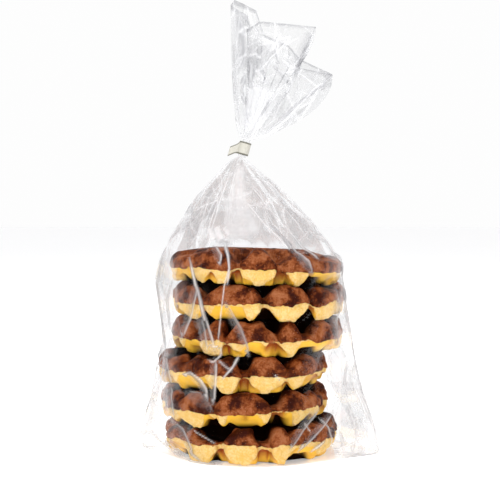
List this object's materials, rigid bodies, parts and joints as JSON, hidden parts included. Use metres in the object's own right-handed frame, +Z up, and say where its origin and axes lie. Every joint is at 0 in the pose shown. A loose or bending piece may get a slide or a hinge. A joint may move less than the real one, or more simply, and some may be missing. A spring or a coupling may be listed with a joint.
{
  "type": "bag of chocolate-dipped waffles",
  "caption": "Clear cellophane bag gathered and tied at the top, holding an upright stack of round thick waffles half dipped in chocolate.",
  "frame": {"origin": "middle of the bag's outline at the flat bottom that it stands on", "axes": "+Z up through the stack to the tied neck and the fanned mouth, +X along the wide side of the bag, -Y towards the viewer of the picture"},
  "size_m": [0.1382, 0.101, 0.2515],
  "materials": {
    "film": "clear glossy cellophane film, creased",
    "tie": "off-white satin plastic strip with dark cut edges",
    "waffle": "pale golden sugar waffle, rough crumb at the rim and smooth baked slopes in the pockets",
    "chocolate": "satin milk chocolate coat with a little bloom"
  },
  "bodies": {
    "root": {"bag": "film", "tie": "tie"}
  },
  "joints": []
}
